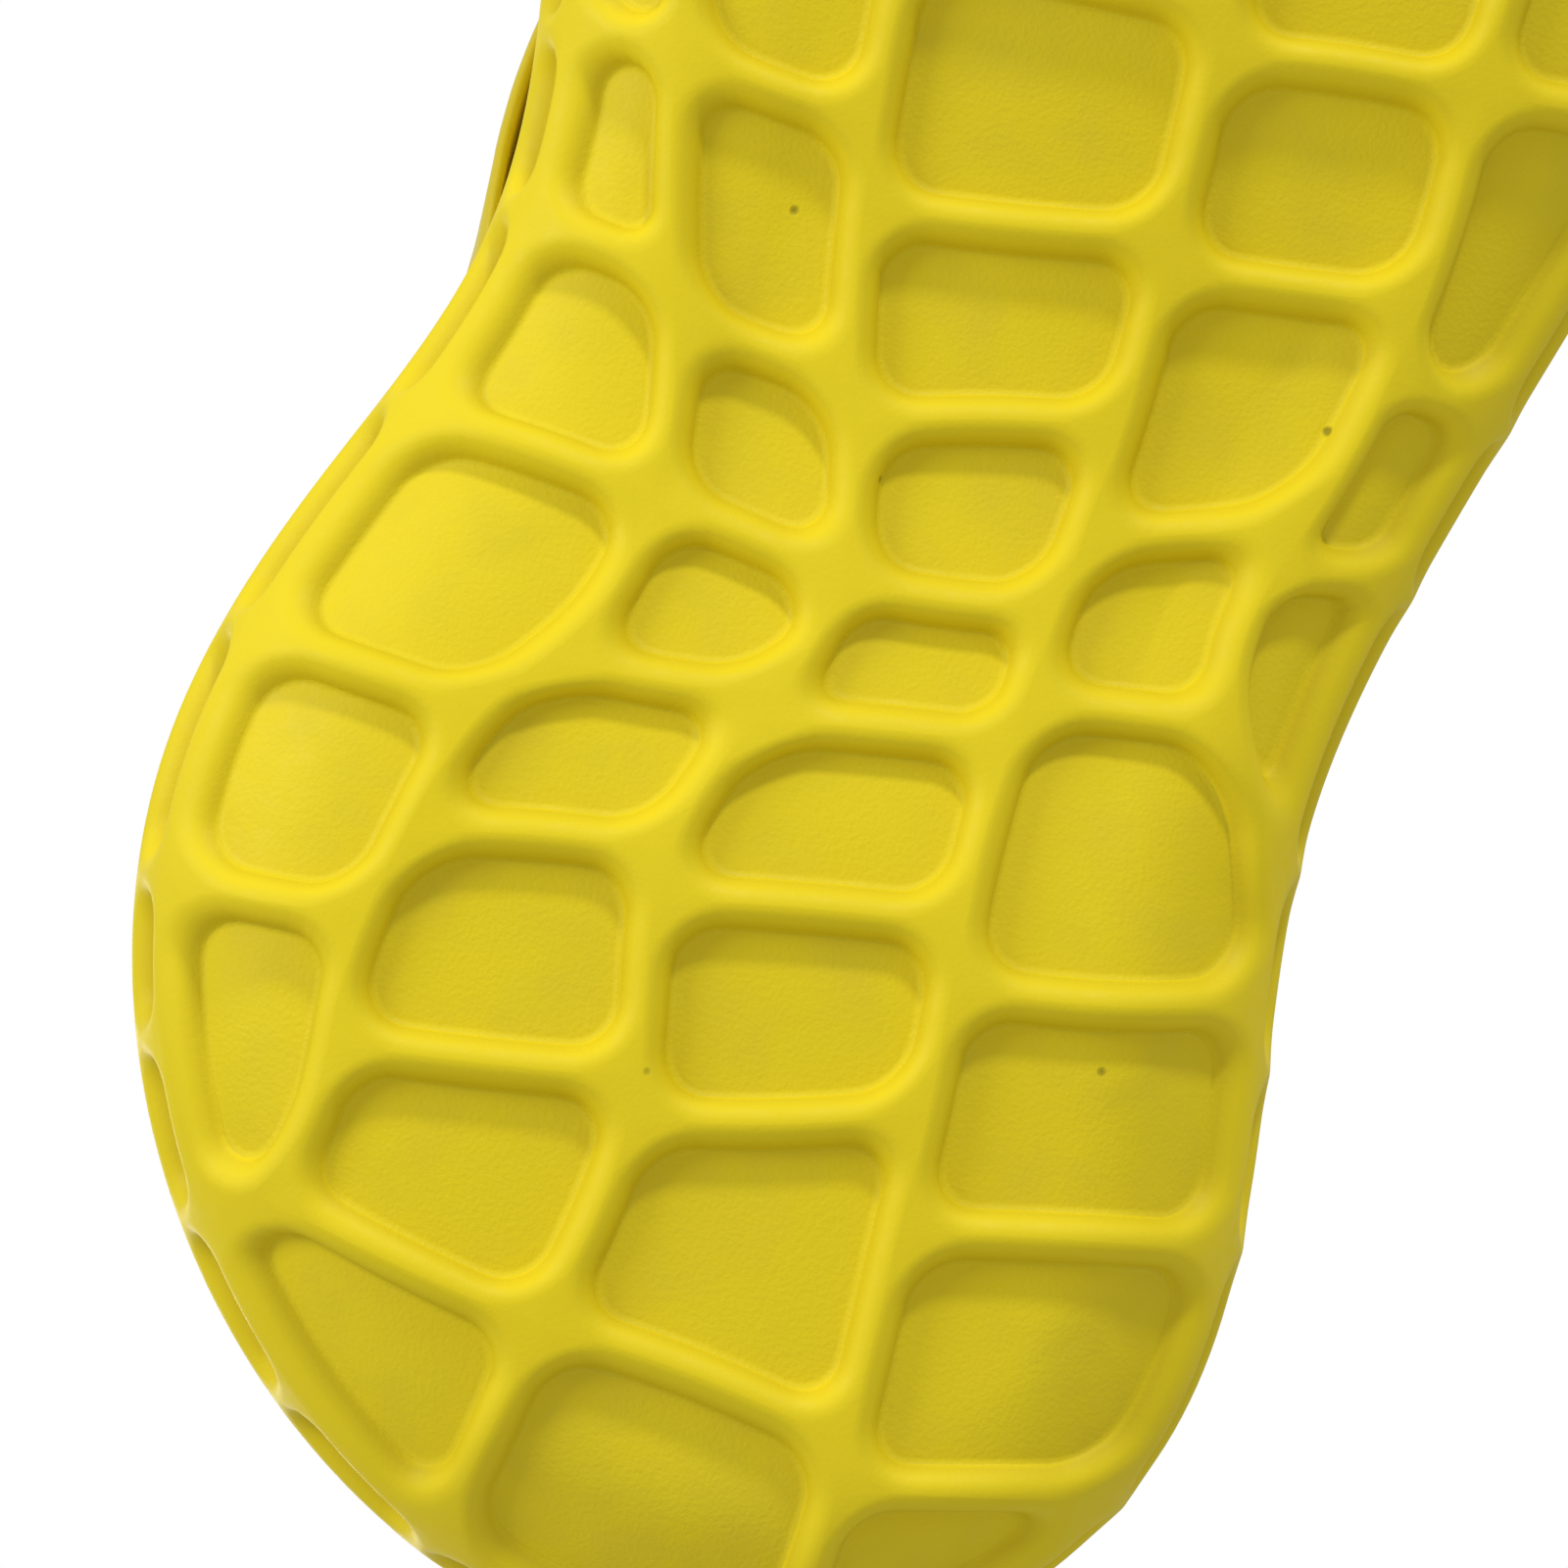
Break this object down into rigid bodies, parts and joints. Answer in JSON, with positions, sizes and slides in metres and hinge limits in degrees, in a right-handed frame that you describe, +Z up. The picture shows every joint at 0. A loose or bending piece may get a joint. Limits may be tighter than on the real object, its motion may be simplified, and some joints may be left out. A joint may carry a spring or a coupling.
{
  "type": "rubber garden clog",
  "caption": "Closed slip-on rubber clog for the left foot, with a cup sole whose tread is a raised net of rounded ribs.",
  "frame": {"origin": "on the ground, below the middle of the bounding box", "axes": "+Z up, +Y towards the toe, +X towards the inner (big toe) side of the foot"},
  "size_m": [0.1084, 0.2845, 0.1011],
  "materials": {
    "sole_rubber": "satin",
    "upper_rubber": "satin",
    "foam": "matte",
    "spring_steel": "brushed",
    "fibre_board": "matte",
    "stiffener": "matte",
    "lining_knit": "knit",
    "cover_cloth": "woven"
  },
  "bodies": {
    "root": {"outsole": "sole_rubber", "midsole_wedge": "foam", "shank": "spring_steel", "insole_board": "fibre_board", "upper_shell": "upper_rubber", "heel_counter": "stiffener", "toe_puff": "stiffener", "lining": "lining_knit", "collar_binding": "upper_rubber", "toe_guard": "upper_rubber", "heel_guard": "upper_rubber", "heel_cushion": "foam", "footbed": "foam", "footbed_cover": "cover_cloth"}
  },
  "joints": []
}
